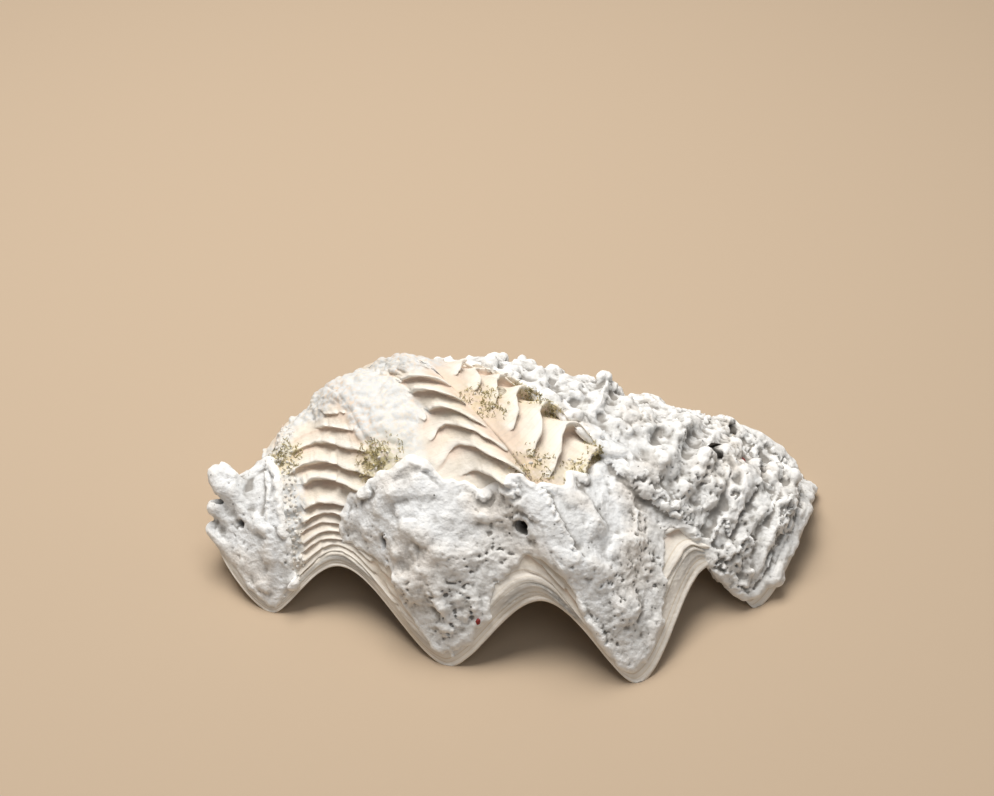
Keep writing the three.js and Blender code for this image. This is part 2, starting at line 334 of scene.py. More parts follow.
# chalk caked over the near flank of the second rib, the top and the edge of the near rib:
# station, growth, half widths
chalkPlaces = [
    (6.35, 0.56, 0.62, 0.19), (6.3, 0.42, 1.5, 0.08), (7.6, 0.44, 0.9, 0.08), (4.15, 0.54, 0.5, 0.13),
    (3.2, 0.6, 0.9, 0.2), (5.0, 0.47, 0.9, 0.07), (4.5, 0.80, 0.26, 0.13)]


def chalkCover(s, g):
    ragged = s + 0.16 * ripple(g, 0.035, 31) + 0.07 * ripple(s, 0.1, 33)
    g = g + 0.02 * ripple(s, 0.14, 32)
    away = [np.sqrt(((ragged - s0) / sWide) ** 2 + ((g - g0) / gWide) ** 2)
            for s0, g0, sWide, gWide in chalkPlaces]
    return 1 - smooth(np.min(away, axis=0), 0.72, 1.08)


# height of each scale: whole on the upper ribs, low thin layers near the margin, mostly buried under crust
def scaleHeight(k):
    g = ringGrowth[k]
    far = smooth(columnAt, 8.9, 9.7)  # the encrusted far end keeps its scales, unevenly
    height = np.interp(columnAt, *zip(*valveLook["scaleHeight"])) * (0.3 + 0.8 * g)
    startsAt = marginValue(4, columnAt)
    height *= smooth(g, startsAt, startsAt + 0.15)
    height *= 1 - valveLook["lowNearRim"] * smooth(g, 0.82, 0.88) * (1 - 0.4 * far)
    height *= 1 + (0.16 + 0.34 * far) * ripple(columnAt, 0.9, 10 + k) + 0.10 * ripple(columnAt, 0.13, 20 + k)
    height *= 1 - valveLook["chipDepth"] * smooth(ripple(columnAt, 0.08, 110 + k), 0.5, 0.85)
    worn = smooth(ripple(columnAt + 0.37 * k, 0.6, 150), 0.2, 0.8)
    height *= 1 - valveLook["wearDepth"] * worn * (1 - far)
    buried = 0.8 - 0.75 * far
    height *= 1 - valveLook["lowUnderChalk"] * chalkCover(columnAt, g)
    return np.clip(height * (1 - buried * crustCover(columnAt, g)), 0, None)


# rows of the outside: growth, lift off the plain valve, and what each row is for the colours
rowGrowth, rowLift, rowLip, rowUnder = [], [], [], []


def addRow(growth, lift, lip=0.0, under=0.0):
    for rows, value in ((rowGrowth, growth), (rowLift, lift), (rowLip, lip), (rowUnder, under)):
        rows.append(np.broadcast_to(value, columnCount))


for growth in valveLook["firstRows"]:
    addRow(growth, 0.0)
start = np.full(columnCount, valveLook["scalesFrom"])
before = start
for k in range(ringCount):
    after = ringGrowth[k]
    span = after - before
    height = scaleHeight(k)
    speed = swept(marginFor(after, columnAt), after)[1]
    lean = valveLook["lean"] * height / speed
    gap = (ringGrowth[k + 1] if k + 1 < ringCount else 1.0) - after
    stands = smooth(height, 0.15, 0.9)
    profile = []
    # towards the lip a row gets more painted highlight, near the hollow more painted shade
    for x in valveLook["scaleBackFew" if k < valveLook["oldest"] else "scaleBack"]:
        profile.append((start + (after - start) * x + lean * x ** 4, height * x ** valveLook["backCurve"],
                        smooth(x, 0.55, 0.95), 1 - smooth(x, 0.0, 0.5)))
    for step, share, lip, under in valveLook["scaleFront"]:
        profile.append((after + lean * share + step * gap, height * share, lip, under))
    for i, (growth, lift, lip, under) in enumerate(profile):
        even = before + span * (i + 1) / len(profile)
        addRow(even * (1 - stands) + growth * stands, lift * stands, lip * stands, under * stands)
    start = rowGrowth[-1]
    before = after

ribCrest = marginValue(2, columnAt)
layerHeight = 1 + 2.2 * smooth(ribCrest, 10, 18)
for t, layer in valveLook["rim"]:
    shift = 0.09 * ripple(columnAt + 3 * t, 0.5, 90) * (1 - t)
    worn = 0.7 + 0.6 * ripple(columnAt, 0.25, 91 + int(t * 10))
    addRow(before + (1 - before) * (t + shift), layer * layerHeight * worn)

growthField, liftField, lipField, underField = (np.array(f) for f in (rowGrowth, rowLift, rowLip, rowUnder))
outsideRows = len(growthField)
marginField = np.array([marginFor(g, columnAt) for g in growthField])
acrossField = np.array([marginFor(g, columnAt + nudge) - marginFor(g, columnAt - nudge) for g in growthField])
print("valve: %d columns, %d outside rows" % (columnCount, outsideRows))

# rows of the hollow side, from the rounded lip in and up under the beak
hollowLook = {"deepWall": 8, "ribsKept": 0.3, "fadeFrom": 0.7,
              "rows": [1.0, 1.0, 0.99, 0.97, 0.94, 0.91, 0.88, 0.84, 0.80, 0.76, 0.72, 0.68, 0.64, 0.60, 0.56,
                       0.52, 0.48, 0.44, 0.40, 0.36]}
hollowMargin, hollowGrowth = [], []
for i, growth in enumerate(hollowLook["rows"]):
    depth = smooth(1 - growth, 0, 1 - hollowLook["fadeFrom"])
    lip = marginValue(3, columnAt)
    wall = lip * (1 - depth) + np.maximum(hollowLook["deepWall"], lip) * depth
    if i == 0:
        wall = lip * 0.5
    p = marginLine + inward * (wall / growth)[:, None]
    p[:, 2] = p[:, 2] * (1 - depth + hollowLook["ribsKept"] * depth) + (0.25 if i else -0.05)
    hollowMargin.append(p)
    hollowGrowth.append(np.full(columnCount, growth))

rows = outsideRows + len(hollowGrowth)
growthAll = np.concatenate([growthField, hollowGrowth])
marginAll = np.concatenate([marginField, hollowMargin])
acrossAll = np.concatenate([acrossField, np.repeat(acrossField[-1:], len(hollowGrowth), axis=0)])
pad = np.zeros((len(hollowGrowth), columnCount))
liftAll, lipAll, underAll = (np.concatenate([f, pad]) for f in (liftField, lipField, underField))
innerAll = np.concatenate([np.zeros((outsideRows, columnCount)), pad + 1])
stationAll = np.broadcast_to(columnAt, (rows, columnCount))
placeAll = swept(marginAll, growthAll)[0]


def nearSpots(spots):
    # soft round patches: x, y, z, radius and strength in the part's millimetres
    total = np.zeros((rows, columnCount))
    for x, y, z, radius, strength in spots:
        away = np.linalg.norm(placeAll - (x, y, z), axis=-1)
        total += strength * np.exp(-(away / radius) ** 2)
    return total * (1 - innerAll)


def bored(points, allowed):
    # how far inside a bored hole each point is, and how deep that hole goes there
    share, depth = np.zeros(len(points)), np.zeros(len(points))
    for x, y, z, radius, direction, longer in valveLook["holes"]:
        direction = np.array(direction, float) / np.linalg.norm(direction)
        away = points - (x, y, z)
        away = away - (away @ direction)[:, None] * direction * (1 - 1 / longer)
        centre = np.where(allowed, np.linalg.norm(away, axis=1), 999).argmin()
        inside = 1 - smooth(np.linalg.norm(away - away[centre], axis=1), 0.75 * radius, 1.35 * radius)
        share, depth = np.maximum(share, inside), np.maximum(depth, inside * radius * valveLook["holeDepth"])
    return share, depth


holeAll, holeDeep = (f.reshape(rows, columnCount) * (1 - innerAll)
                     for f in bored(placeAll.reshape(-1, 3), innerAll.ravel() < 0.5))
liftAll = liftAll - holeDeep
liftAll = liftAll + nearSpots(valveLook["swells"]) * (1 - smooth(growthAll, 0.9, 0.98))
stains = {
    "algae": [(-43.4, -8.2, 46.4, 7, 1), (10.1, 18.7, 48.5, 8, 0.8), (28.5, -1.6, 44.5, 4.5, 1),
              (19.5, -14, 45.1, 5, 0.8), (-11.2, 7, 56.9, 8, 0.45), (4.4, -15.9, 50.7, 7, 0.5),
              (-80, 6, 36, 7, 0.6)],
    "rust": [(-11.2, 7, 56.9, 2.4, 1)],
}
crustAll = crustCover(stationAll, growthAll) * (1 - innerAll)
chalkAll = chalkCover(stationAll, growthAll) * (1 - innerAll) * (1 - crustAll)
# a split beside the furrow between the second and third rib, sunk a little and painted dark brown as painted
# shade
crackAt = 8.03 + 0.03 * ripple(growthAll, 0.03, 34)
crackAll = np.exp(-((stationAll - crackAt) / 0.022) ** 2)
crackAll = crackAll * smooth(growthAll, 0.58, 0.63) * (1 - smooth(growthAll, 0.75, 0.78))
liftAll = liftAll + valveLook["chalkLift"] * chalkAll - valveLook["crackDepth"] * crackAll * (1 - crustAll)
ribHeight = marginValue(2, stationAll.ravel()).reshape(stationAll.shape)
fieldsAll = {
    "marginAt": marginAll * mm, "marginAcross": acrossAll * mm, "growth": growthAll, "lift": liftAll * mm,
    "lip": lipAll, "under": underAll, "inner": innerAll, "station": stationAll, "crust": crustAll,
    "rough": (1 - innerAll) * (1 - smooth(growthAll, 0.95, 0.97) * 0.85) * (1 + 3.0 * chalkAll),
    # low between the ribs: tints the furrows pink-tan, partly painted shade in these valleys
    "furrow": (1 - smooth(ribHeight, 0.5, 6)) * (1 - innerAll),
    "algae": np.clip(nearSpots(stains["algae"]), 0, 1), "chalk": chalkAll, "crack": crackAll, "hole": holeAll,
    "rust": np.clip(nearSpots(stains["rust"]), 0, 1),
}


def withPoles(values):
    # one more point at the beak and one at the top of the hollow close the skin
    first, last = values[0].mean(0), values[-1].mean(0)
    return np.concatenate([[first], values.reshape((-1,) + values.shape[2:]), [last]])


fieldsAll = {label: withPoles(np.asarray(values, float)) for label, values in fieldsAll.items()}
fieldsAll["growth"][0] = 0.004

grid = 1 + np.arange(rows * columnCount).reshape(rows, columnCount)
beside = np.roll(grid, -1, axis=1)
skin = np.stack([grid[:-1], grid[1:], beside[1:], beside[:-1]], axis=-1).reshape(-1, 4).tolist()
lastPoint = rows * columnCount + 1
skin += [[0, a, b] for a, b in zip(grid[0].tolist(), beside[0].tolist())]
skin += [[a, lastPoint, b] for a, b in zip(grid[-1].tolist(), beside[-1].tolist())]

# materials

chalkLook = {
    "cream": "#e6dfd3", "warm": "#ebe0cf", "lip": "#f3eee5", "hollow": "#dcc6b5", "furrow": "#e4cdb8",
    "chalk": "#dadcdc", "algaeYellow": "#c8b877", "algaeDark": "#6d6546", "rim": "#f6f1e8",
    "rimLine": "#d8c8ae",
    "crust": "#e4e4e2", "crack": "#4f3d2e", "hole": "#2e261e", "rust": "#d19b3c", "dirt": "#cfc6b6",
    "growthLine": "#cdc3b7", "lining": "#f1ece2", "liningWarm": "#e4d9c6",
    "cloudSize": 11 * mm, "grainSize": 1.6 * mm, "spotSize": 2.6 * mm, "dirtSize": 7 * mm,
    "liningCloud": 24 * mm, "growthLines": 260.0, "bumpHeight": 0.5 * mm, "refraction": 1.53,
}


def newMaterial(name):
    material = bpy.data.materials.new(name)
    material.use_nodes = True
    tree = material.node_tree
    return material, tree, tree.nodes["Principled BSDF"]


def layColours(tree, colour, layers):
    # each layer hides what is below by the product of its shares: value, low, high, least and most share
    for stain, *shares in layers:
        cover = 1.0
        for value, low, high, least, most in shares:
            part = addNode(tree, "ShaderNodeMapRange", {0: value, 1: low, 2: high, 3: least, 4: most})
            cover = addNode(tree, "ShaderNodeMath", {0: cover, 1: part}, operation="MULTIPLY")
        stain = toLinear(stain) if isinstance(stain, str) else stain
        colour = addNode(tree, "ShaderNodeMix", {0: cover, 6: colour, 7: stain}, data_type="RGBA").outputs[2]
    return colour


# weathered aragonite: matt cream shell with painted highlight on the scale lips and painted shade in tan in
# the hollows under them, stained by algae and chalk
valveStuff, tree, shader = newMaterial("weathered_aragonite")
coords = addNode(tree, "ShaderNodeTexCoord").outputs["Object"]
cloud, grain, dirt = (addNode(tree, "ShaderNodeTexNoise", {
    "Vector": coords, "Scale": 1 / chalkLook[size], "Detail": detail, "Roughness": rough})
    for size, detail, rough in (("cloudSize", 4.0, 0.5), ("grainSize", 5.0, 0.5), ("dirtSize", 7.0, 0.65)))
spots = addNode(tree, "ShaderNodeTexVoronoi", {"Vector": coords, "Scale": 1 / chalkLook["spotSize"]})
painted = {name: addNode(tree, "ShaderNodeAttribute", attribute_name=name).outputs["Fac"] for name in (
    "growth", "furrow", "lip", "under", "chalk", "algae", "crust", "crack", "hole", "rust")}
alongGrowth = addNode(
    tree, "ShaderNodeMath", {0: painted["growth"], 1: chalkLook["growthLines"]}, operation="MULTIPLY")
lines = addNode(
    tree, "ShaderNodeTexNoise", {"W": alongGrowth, "Scale": 1.0, "Detail": 3.0}, noise_dimensions="1D")
rimColour = layColours(tree, toLinear(chalkLook["rim"]), [(chalkLook["rimLine"], (lines, 0.5, 0.85, 0, 1))])
colour = layColours(tree, toLinear(chalkLook["cream"]), [
    (chalkLook["warm"], (cloud, 0.35, 0.65, 0, 1)),
    # the pink-tan of the furrows, partly painted shade in the valleys between the ribs
    (chalkLook["furrow"], (painted["furrow"], 0, 1, 0, 0.8)),
    # painted highlight: the lips of the scales are lighter than the cream
    (chalkLook["lip"], (painted["lip"], 0, 1, 0, 1)),
    # painted shade: tan darkening in the hollow under each scale's lip
    (chalkLook["hollow"], (painted["under"], 0, 1, 0, 0.85)),
    (chalkLook["growthLine"], (lines, 0.5, 0.8, 0, 0.35)),
    (chalkLook["dirt"], (dirt, 0.5, 0.66, 0, 0.45)),
    (rimColour, (painted["growth"], 0.92, 0.96, 0, 1)),
    (chalkLook["chalk"], (painted["chalk"], 0, 1, 0, 1), (grain, 0.3, 0.55, 0, 1)),
    (chalkLook["algaeYellow"], (painted["algae"], 0, 1, 0, 1), (grain, 0.38, 0.55, 0, 1)),
    (chalkLook["algaeDark"], (painted["algae"], 0, 1, 0, 1), (spots, 0.24, 0.12, 0, 1)),
    (chalkLook["crust"], (painted["crust"], 0, 1, 0, 0.8)),
    # painted shade: the split is painted dark brown
    (chalkLook["crack"], (painted["crack"], 0, 1, 0, 0.9)),
    # painted shade: the insides of the bored holes are painted nearly black
    (chalkLook["hole"], (painted["hole"], 0, 1, 0, 1)),
    (chalkLook["rust"], (painted["rust"], 0, 1, 0, 1)),
])
gloss = addNode(tree, "ShaderNodeMapRange", {0: grain, 1: 0.2, 2: 0.8, 3: 0.55, 4: 0.8})
bump = addNode(tree, "ShaderNodeBump", {
    "Height": grain, "Strength": 0.6, "Distance": chalkLook["bumpHeight"]})
tree.links.new(colour, shader.inputs["Base Color"])
tree.links.new(gloss.outputs[0], shader.inputs["Roughness"])
tree.links.new(bump.outputs[0], shader.inputs["Normal"])
shader.inputs["IOR"].default_value = chalkLook["refraction"]

# porcelain hollow: smooth glossy white with a faint warm cloud
hollowStuff, tree, shader = newMaterial("porcelain_shell_lining")
coords = addNode(tree, "ShaderNodeTexCoord").outputs["Object"]
cloud = addNode(tree, "ShaderNodeTexNoise", {
    "Vector": coords, "Scale": 1 / chalkLook["liningCloud"], "Detail": 3.0})
colour = layColours(tree, toLinear(chalkLook["lining"]), [
    (chalkLook["liningWarm"], (cloud, 0.35, 0.65, 0, 1))])
gloss = addNode(tree, "ShaderNodeMapRange", {0: cloud, 1: 0.3, 2: 0.7, 3: 0.22, 4: 0.36})
tree.links.new(colour, shader.inputs["Base Color"])
tree.links.new(gloss.outputs[0], shader.inputs["Roughness"])
shader.inputs["IOR"].default_value = chalkLook["refraction"]

# tree that grows the valve from its margin
sweep = {
    "Beak": tuple(beak * mm), "Hinge axis": tuple(hingeAxis), "Tightness": valveLook["tightness"],
    "Most turn": mostTurn, "Lump size": valveLook["lumpSize"], "Lump height": valveLook["lumpHeight"],
    "Outside": valveStuff, "Lining": hollowStuff}
t, inputs = newTree("growthSweep", sweep)
growthAt, lift, rough, inner = (addNode(t, "GeometryNodeInputNamedAttribute", {0: name}, data_type="FLOAT")
                                for name in ("growth", "lift", "rough", "inner"))
marginAt, marginAcross = (addNode(t, "GeometryNodeInputNamedAttribute", {0: name}, data_type="FLOAT_VECTOR")
                          for name in ("marginAt", "marginAcross"))

# how far each growth line has swung up about the hinge
slow = addNode(t, "ShaderNodeMath", {0: inputs["Tightness"], 1: inputs["Most turn"]}, operation="MULTIPLY")
turn = growthAt
for operation, other in (("LOGARITHM", math.e), ("MULTIPLY", -1.0), ("DIVIDE", slow), ("TANH", 0.0)):
    turn = addNode(t, "ShaderNodeMath", {0: turn, 1: other}, operation=operation)
angle = turn
for other in (inputs["Most turn"], -1.0):
    angle = addNode(t, "ShaderNodeMath", {0: angle, 1: other}, operation="MULTIPLY")
fromBeak = addNode(t, "ShaderNodeVectorMath", {0: marginAt, 1: inputs["Beak"]}, operation="SUBTRACT")
swung, acrossSwung = (addNode(t, "ShaderNodeVectorRotate", {
    "Vector": v, "Center": (0, 0, 0), "Axis": inputs["Hinge axis"], "Angle": angle},
    rotation_type="AXIS_ANGLE") for v in (fromBeak, marginAcross))
plain = addNode(t, "ShaderNodeVectorMath", {0: swung, "Scale": growthAt}, operation="SCALE")
plain = addNode(t, "ShaderNodeVectorMath", {0: plain, 1: inputs["Beak"]}, operation="ADD")

# scales are lifted along the swept surface's own outward direction
bend = addNode(t, "ShaderNodeMath", {0: turn, 1: turn}, operation="MULTIPLY")
bend = addNode(t, "ShaderNodeMath", {0: 1.0, 1: bend}, operation="SUBTRACT")
bend = addNode(t, "ShaderNodeMath", {0: bend, 1: inputs["Tightness"]}, operation="DIVIDE")
down = addNode(t, "ShaderNodeVectorMath", {0: inputs["Hinge axis"], 1: swung}, operation="CROSS_PRODUCT")
down = addNode(t, "ShaderNodeVectorMath", {0: down, "Scale": bend}, operation="SCALE")
down = addNode(t, "ShaderNodeVectorMath", {0: swung, 1: down}, operation="ADD")
outward = addNode(t, "ShaderNodeVectorMath", {0: down, 1: acrossSwung}, operation="CROSS_PRODUCT")
outward = addNode(t, "ShaderNodeVectorMath", {0: outward}, operation="NORMALIZE")
outward = addNode(t, "ShaderNodeVectorMath", {0: outward, "Scale": lift}, operation="SCALE")
lifted = addNode(t, "ShaderNodeVectorMath", {0: plain, 1: outward}, operation="ADD")
body = addNode(t, "GeometryNodeSetPosition", {"Geometry": inputs["Geometry"], "Position": lifted})

# lumps where the valve is rough
lumpScale = addNode(t, "ShaderNodeMath", {0: 1.0, 1: inputs["Lump size"]}, operation="DIVIDE")
push = addNode(t, "ShaderNodeTexNoise", {
    "Vector": addNode(t, "GeometryNodeInputPosition"), "Scale": lumpScale, "Detail": 5.0})
twice = addNode(t, "ShaderNodeMath", {0: rough, 1: 2.0}, operation="MULTIPLY")
for operation, other in (("SUBTRACT", 0.5), ("MULTIPLY", inputs["Lump height"]), ("MULTIPLY", twice)):
    push = addNode(t, "ShaderNodeMath", {0: push, 1: other}, operation=operation)
facing = addNode(t, "GeometryNodeInputNormal")
push = addNode(t, "ShaderNodeVectorMath", {0: facing, "Scale": push}, operation="SCALE")
body = addNode(t, "GeometryNodeSetPosition", {"Geometry": body, "Offset": push})
body = keepAbove(t, body, 0.0)
body = addNode(t, "GeometryNodeSetShadeSmooth", {"Geometry": body})
body = addNode(t, "GeometryNodeRealizeInstances", {"Geometry": body})
body = addNode(t, "GeometryNodeSetMaterial", {"Geometry": body, "Material": inputs["Outside"]})
isInner = addNode(t, "ShaderNodeMath", {0: inner, 1: 0.5}, operation="GREATER_THAN")
body = addNode(t, "GeometryNodeSetMaterial", {
    "Geometry": body, "Selection": isInner, "Material": inputs["Lining"]})
addNode(t, "NodeGroupOutput", {"Geometry": body})

valve = runTree(newObject("valve", withPoles(placeAll * mm).tolist(), skin, fieldsAll), t, sweep)
valvePlace, valveOut = pointsOf(valve.data)
print("valve: %d faces" % len(valve.data.polygons))

# the crust: spots on the valve and loose seeds swell into one lumpy sheet with knobs, ridges and pits

crustLook = {
    "inputs": {
        "Seed": 7, "Voxel": 0.72 * mm, "Spot distance": 0.95 * mm, "Knob distance": 8 * mm,
        "Knob small": 1.4 * mm, "Knob big": 3.2 * mm, "Swell size": 11 * mm, "Swell height": 7.4 * mm,
        "Cell size": 6.4 * mm, "Cell height": 3.4 * mm, "Ridge size": 9 * mm, "Ridge height": 1.7 * mm,
        "Grain size": 1.9 * mm, "Grain height": 1.3 * mm, "Pit depth": 1.6 * mm,
        "Layer count": 26.0, "Layer height": 1.9 * mm},
    "warpSize": 6 * mm, "warpReach": 4 * mm,  # bends the cells out of round
    "skinLeft": 1.1 * mm, "deepestDip": 6 * mm, "dipBlend": 0.6 * mm, "offTable": 0.1 * mm,
    "leastThick": 1.25,
    "white": "#f5f8fa", "grey": "#ebedee", "tan": "#e2dad0", "coarse": "#d3cec5", "stain": "#aeaba4",
    "knobTopHighlight": "#fafaf8", "pitShade": "#858079", "speck": "#403d37", "speckSize": 2.3 * mm,
    "bumpHeight": 0.7 * mm,
    # size, detail and roughness of the colour noises: cloud, warm, patch, grain
    "noises": [(16 * mm, 4.0, 0.5), (22 * mm, 5.0, 0.5), (5 * mm, 6.0, 0.6), (1.6 * mm, 6.0, 0.5)],
    # thickness at each station of the margin
    "thick": [0, 1, 1.5, 2.6, 3.0, 2.2, 3.6, 2.8, 3.4, 2.6, 3.2, 3.2, 3.0, 2.8, 2.2, 1, 0],
    # stubby fingers, points and radius along each: three encrusted scales of the near rib,
    # a ridge high on the third rib and a stub behind the near rib
    "fingers": [
        [(-100.6, 2, 31.4, 5.0), (-98.6, 0.5, 30, 5.4), (-95.5, -2, 27.6, 5.4), (-92, -6, 24.5, 5.0),
         (-88, -11, 19, 4.4)],
        [(-102.0, -4, 21.8, 3.8), (-98.8, -6, 20.6, 4.4), (-94, -10.5, 17.5, 4.4), (-89, -16, 12.5, 4.0)],
        [(-102.8, -8, 15.6, 3.4), (-99.0, -11.5, 14.2, 4.0), (-94, -16, 10.5, 4.0), (-89, -21, 7, 3.4)],
        [(24, -10, 43, 2.4), (31, -6, 42, 4.0), (39, -4, 39.5, 4.4), (46, -6, 36.5, 4.0)],
        [(-88, 8, 29, 1.8), (-84.5, 8.5, 32, 2.0), (-82, 6, 33, 1.6)],
    ],
    "sunkBelow": -0.8, "keptFaces": 190000,
}

growthOf, stationOf = fieldsAll["growth"], fieldsAll["station"]
cover = smooth(fieldsAll["crust"], 0.35, 0.6)
farEnd = smooth(stationOf, 9.2, 9.9)
nearEnd = 1 - smooth(stationOf, 4.6, 4.8)  # up to the first arch
# a smooth patch beside the third rib
plain = np.exp(-((stationOf - 9.6) / 0.55) ** 2 - ((growthOf - 0.73) / 0.06) ** 2)
knob = np.maximum(farEnd, smooth(stationOf, 4.2, 4.35) * nearEnd) * (1 - plain)
layered = smooth(growthOf, 0.82, 0.88) * smooth(stationOf, 8.5, 8.9) * (1 - smooth(stationOf, 13.2, 13.6))
nearRim = smooth(growthOf, 0.84, 0.92) * smooth(stationOf, 4.8, 5.2)
coarse = np.maximum(knob * (1 - 0.5 * layered), nearRim) * (1 - plain)
thickness = np.interp(stationOf, np.arange(stationCount + 1), crustLook["thick"] + crustLook["thick"][:1])
thickness *= 0.45 + 0.55 * np.maximum(crustCover(stationOf, growthOf, 0.014, 0.07), 0.7 * farEnd)
thickness *= 1 - 0.5 * smooth(stationOf, 4.15, 4.35) * nearEnd
thickness = np.maximum(thickness, crustLook["leastThick"])
edge = crustCover(stationOf, growthOf, 0.02, 0.03) * (1 - 0.7 * plain)  # the lumps fade out at the edges
seeds = []
for finger in crustLook["fingers"]:
    finger = np.array(finger)
    shares = np.linspace(0, len(finger) - 1, 8 * len(finger))
    seeds.append(np.column_stack([np.interp(shares, np.arange(len(finger)), finger[:, i]) for i in range(4)]))
seeds = np.concatenate(seeds)
none = np.zeros(len(seeds))
carrierFields = {"cover": cover, "edge": edge, "knob": knob * (1 - 0.6 * layered), "layered": layered,
                 "growth": growthOf, "coarse": coarse, "isSeed": np.zeros(len(valvePlace))}
carrierFields = {name: np.append(values, none) for name, values in carrierFields.items()}
carrierFields["isSeed"][len(valvePlace):] = 1
carrierFields["thickness"] = np.append(thickness, seeds[:, 3]) * mm
carrier = newObject("coralline_crust", valvePlace.tolist() + (seeds[:, :3] * mm).tolist(),
                    [f for f in skin if cover[f].max() > 0.02], carrierFields)

# coralline crust: chalky grey-white, speckled in its pits, with painted shade darkening the pits and painted
# highlight on the tops of the knobs
crustStuff, tree, shader = newMaterial("coralline_crust")
coords = addNode(tree, "ShaderNodeTexCoord").outputs["Object"]
cloud, warm, patch, grain = (addNode(tree, "ShaderNodeTexNoise", {
    "Vector": coords, "Scale": 1 / size, "Detail": detail, "Roughness": rough})
    for size, detail, rough in crustLook["noises"])
spots = addNode(tree, "ShaderNodeTexVoronoi", {"Vector": coords, "Scale": 1 / crustLook["speckSize"]})
coarseOf, cavityOf, holeOf = (addNode(tree, "ShaderNodeAttribute", attribute_name=name).outputs["Fac"]
                              for name in ("coarse", "cavity", "hole"))
colour = layColours(tree, toLinear(crustLook["white"]), [
    (crustLook["grey"], (cloud, 0.38, 0.62, 0, 1)),
    (crustLook["tan"], (warm, 0.5, 0.64, 0, 0.7)),
    (crustLook["coarse"], (coarseOf, 0, 1, 0, 0.3)),
    (crustLook["stain"], (patch, 0.48, 0.68, 0, 1), (coarseOf, 0, 1, 0.3, 0.75)),
    # painted highlight: the convex tops of the knobs are lighter
    (crustLook["knobTopHighlight"], (cavityOf, -0.05, -0.4, 0, 1)),
    # painted shade: the deeper a hollow of the crust, the darker it is
    (crustLook["pitShade"], (cavityOf, 0.06, 0.38, 0, 0.85)),
    (crustLook["speck"], (spots, 0.19, 0.1, 0, 1), (patch, 0.56, 0.64, 0, 1)),
    # painted shade: the insides of the bored holes are painted nearly black
    (chalkLook["hole"], (holeOf, 0, 1, 0, 1)),
])
gloss = addNode(tree, "ShaderNodeMapRange", {0: grain, 1: 0.2, 2: 0.8, 3: 0.7, 4: 0.92})
bump = addNode(tree, "ShaderNodeBump", {
    "Height": grain, "Strength": 0.9, "Distance": crustLook["bumpHeight"]})
tree.links.new(colour, shader.inputs["Base Color"])
tree.links.new(gloss.outputs[0], shader.inputs["Roughness"])
tree.links.new(bump.outputs[0], shader.inputs["Normal"])

crustInputs = crustLook["inputs"] | {"Material": crustStuff}
t, inputs = newTree("crustGrowth", crustInputs)
here = addNode(t, "GeometryNodeInputPosition")
facing = addNode(t, "GeometryNodeInputNormal")
field = {name: addNode(t, "GeometryNodeInputNamedAttribute", {0: name}, data_type="FLOAT") for name in (
    "cover", "knob", "thickness", "isSeed", "spotRadius", "coarse", "edge", "layered", "growth")}
noise = {}
for name, size, wider, detail, kind in (
        ("swell", "Swell size", 1.0, 1.0, "FBM"), ("wide", "Swell size", 1.7, 1.0, "FBM"),
        ("bulge", "Swell size", 1.0, 5.0, "FBM"), ("step", "Swell size", 1.0, 2.0, "FBM"),
        ("fine", "Grain size", 1.0, 2.0, "FBM"), ("ridge", "Ridge size", 1.0, 1.5, "RIDGED_MULTIFRACTAL")):
    scale = addNode(t, "ShaderNodeMath", {0: 1 / wider, 1: inputs[size]}, operation="DIVIDE")
    noise[name] = addNode(t, "ShaderNodeTexNoise", {"Vector": here, "Scale": scale, "Detail": detail},
                          noise_type=kind, normalize=kind == "FBM")

# close spots make the sheet, fewer and bigger ones the knobs, the seeds the fingers
swell = addNode(t, "ShaderNodeMapRange", {0: noise["swell"], 1: 0.3, 2: 0.7, 3: 0.5, 4: 1.25})
spotSize = addNode(t, "ShaderNodeMath", {0: field["thickness"], 1: swell}, operation="MULTIPLY")
knobShare = addNode(t, "ShaderNodeMath", {0: field["cover"], 1: field["knob"]}, operation="MULTIPLY")
knobSize = addNode(t, "FunctionNodeRandomValue", {
    2: inputs["Knob small"], 3: inputs["Knob big"], "Seed": inputs["Seed"]}, data_type="FLOAT").outputs[1]
growths = []
for distance, share, radius, rise in (
        ("Spot distance", field["cover"], spotSize, 0.1), ("Knob distance", knobShare, knobSize, 0.85)):
    scatter = addNode(t, "GeometryNodeDistributePointsOnFaces", {
        "Mesh": inputs["Geometry"], "Distance Min": inputs[distance], "Density Max": 3.0e6,
        "Density Factor": share, "Seed": inputs["Seed"]}, distribute_method="POISSON")
    points = addNode(t, "GeometryNodeStoreNamedAttribute", {
        "Geometry": scatter.outputs["Points"], "Name": "spotRadius", "Value": radius},
        data_type="FLOAT", domain="POINT")
    up = addNode(t, "ShaderNodeMath", {0: field["thickness"], 1: rise}, operation="MULTIPLY")
    up = addNode(t, "ShaderNodeVectorMath", {0: scatter.outputs["Normal"], "Scale": up}, operation="SCALE")
    growths.append(addNode(t, "GeometryNodeSetPosition", {"Geometry": points, "Offset": up}))
isSeed = addNode(t, "ShaderNodeMath", {0: field["isSeed"], 1: 0.5}, operation="GREATER_THAN")
loose = addNode(t, "GeometryNodeMeshToPoints", {"Mesh": inputs["Geometry"], "Selection": isSeed})
growths.append(addNode(t, "GeometryNodeStoreNamedAttribute", {
    "Geometry": loose, "Name": "spotRadius", "Value": field["thickness"]}, data_type="FLOAT", domain="POINT"))
joined = addNode(t, "GeometryNodeJoinGeometry")
for points in growths:
    t.links.new(points.outputs[0], joined.inputs[0])
volume = addNode(t, "GeometryNodePointsToVolume", {
    "Points": joined, "Voxel Size": inputs["Voxel"], "Radius": field["spotRadius"]},
    resolution_mode="VOXEL_SIZE")
